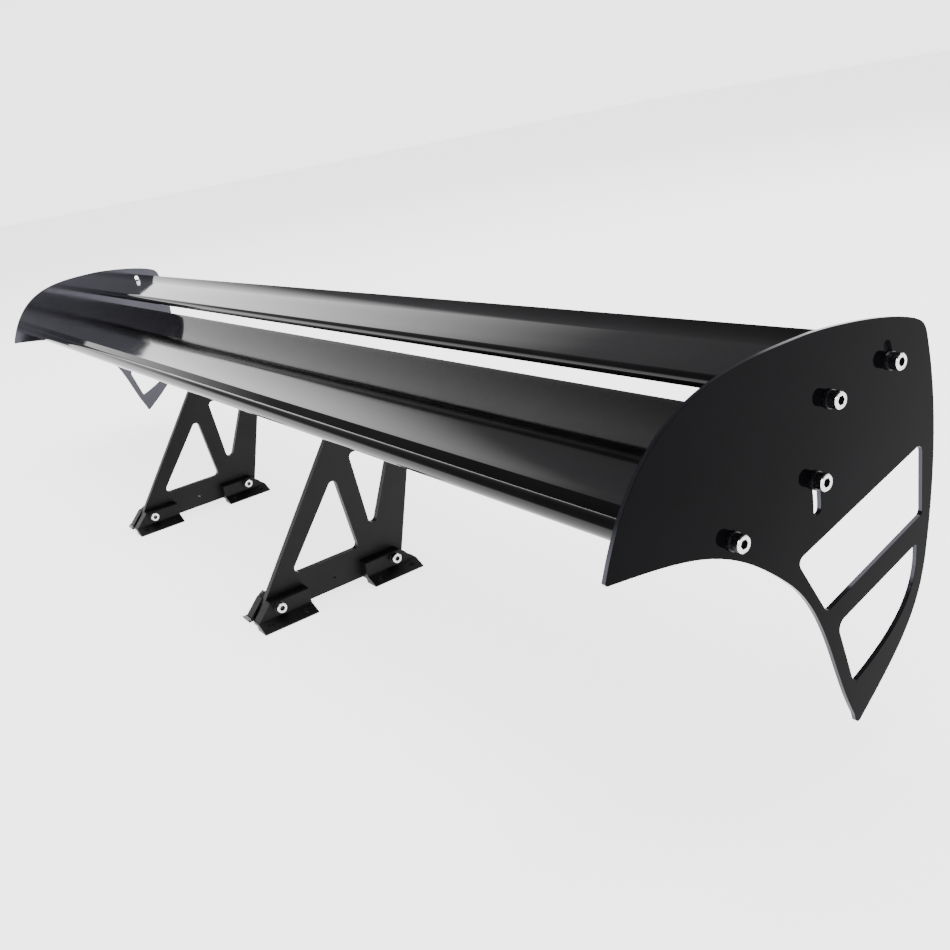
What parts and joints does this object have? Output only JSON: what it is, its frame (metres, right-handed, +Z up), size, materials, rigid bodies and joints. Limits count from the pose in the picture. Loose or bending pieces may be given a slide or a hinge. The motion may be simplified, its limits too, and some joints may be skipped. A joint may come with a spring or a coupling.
{
  "type": "racing rear wing",
  "caption": "Rear wing for a car: a wide main plane and a slotted upper plane between adjustable end plates, carried on cut-out uprights with pivoting foot brackets.",
  "frame": {"origin": "on the boot lid plane under the middle of the wing", "axes": "+X across the car to the right-hand end plate, +Y to the rear of the car, +Z up"},
  "size_m": [1.4654, 0.2752, 0.2832],
  "materials": {
    "gloss_black": "gloss black paint on aluminium",
    "satin_black": "satin black coating on aluminium",
    "bright_steel": "bright zinc plated steel",
    "dark_steel": "black oxide steel"
  },
  "bodies": {
    "frame_body": {"main_plane": "gloss_black", "upright_left": "satin_black", "upright_right": "satin_black", "mount_angle_left": "satin_black", "mount_angle_right": "satin_black", "angle_bolts": "dark_steel", "angle_nuts": "bright_steel", "rail_screws": "dark_steel", "rail_nuts": "bright_steel", "foot_bolts": "bright_steel", "foot_nuts": "bright_steel", "foot_washers": "dark_steel", "main_screws": "bright_steel", "main_washers": "dark_steel"},
    "end_plates": {"endplate_left": "gloss_black", "endplate_right": "gloss_black"},
    "flap": {"upper_plane": "gloss_black", "flap_screws": "bright_steel", "flap_washers": "dark_steel"},
    "foot_left_front_out_body": {"foot_left_front_out": "satin_black"},
    "foot_left_front_in_body": {"foot_left_front_in": "satin_black"},
    "foot_left_rear_out_body": {"foot_left_rear_out": "satin_black"},
    "foot_left_rear_in_body": {"foot_left_rear_in": "satin_black"},
    "foot_right_front_out_body": {"foot_right_front_out": "satin_black"},
    "foot_right_front_in_body": {"foot_right_front_in": "satin_black"},
    "foot_right_rear_out_body": {"foot_right_rear_out": "satin_black"},
    "foot_right_rear_in_body": {"foot_right_rear_in": "satin_black"}
  },
  "joints": [
    {"name": "end_plates_tilt", "type": "hinge", "parent": "frame_body", "child": "end_plates", "pos_m": [0, -0.0385, 0.1916], "axis": [1, 0, 0], "range_deg": [0, 15]},
    {"name": "flap_tilt", "type": "hinge", "parent": "end_plates", "child": "flap", "pos_m": [0, 0.044, 0.2437], "axis": [1, 0, 0], "range_deg": [0, 10]},
    {"name": "foot_left_front_out_tilt", "type": "hinge", "parent": "frame_body", "child": "foot_left_front_out_body", "pos_m": [-0.2005, -0.112, 0.0168], "axis": [1, 0, 0], "range_deg": [-12, 12]},
    {"name": "foot_left_front_in_tilt", "type": "hinge", "parent": "frame_body", "child": "foot_left_front_in_body", "pos_m": [-0.2005, -0.112, 0.0168], "axis": [1, 0, 0], "range_deg": [-12, 12]},
    {"name": "foot_left_rear_out_tilt", "type": "hinge", "parent": "frame_body", "child": "foot_left_rear_out_body", "pos_m": [-0.2005, 0.0165, 0.0168], "axis": [1, 0, 0], "range_deg": [-12, 12]},
    {"name": "foot_left_rear_in_tilt", "type": "hinge", "parent": "frame_body", "child": "foot_left_rear_in_body", "pos_m": [-0.2005, 0.0165, 0.0168], "axis": [1, 0, 0], "range_deg": [-12, 12]},
    {"name": "foot_right_front_out_tilt", "type": "hinge", "parent": "frame_body", "child": "foot_right_front_out_body", "pos_m": [0.1935, -0.112, 0.0168], "axis": [1, 0, 0], "range_deg": [-12, 12]},
    {"name": "foot_right_front_in_tilt", "type": "hinge", "parent": "frame_body", "child": "foot_right_front_in_body", "pos_m": [0.1935, -0.112, 0.0168], "axis": [1, 0, 0], "range_deg": [-12, 12]},
    {"name": "foot_right_rear_out_tilt", "type": "hinge", "parent": "frame_body", "child": "foot_right_rear_out_body", "pos_m": [0.1935, 0.0165, 0.0168], "axis": [1, 0, 0], "range_deg": [-12, 12]},
    {"name": "foot_right_rear_in_tilt", "type": "hinge", "parent": "frame_body", "child": "foot_right_rear_in_body", "pos_m": [0.1935, 0.0165, 0.0168], "axis": [1, 0, 0], "range_deg": [-12, 12]}
  ]
}
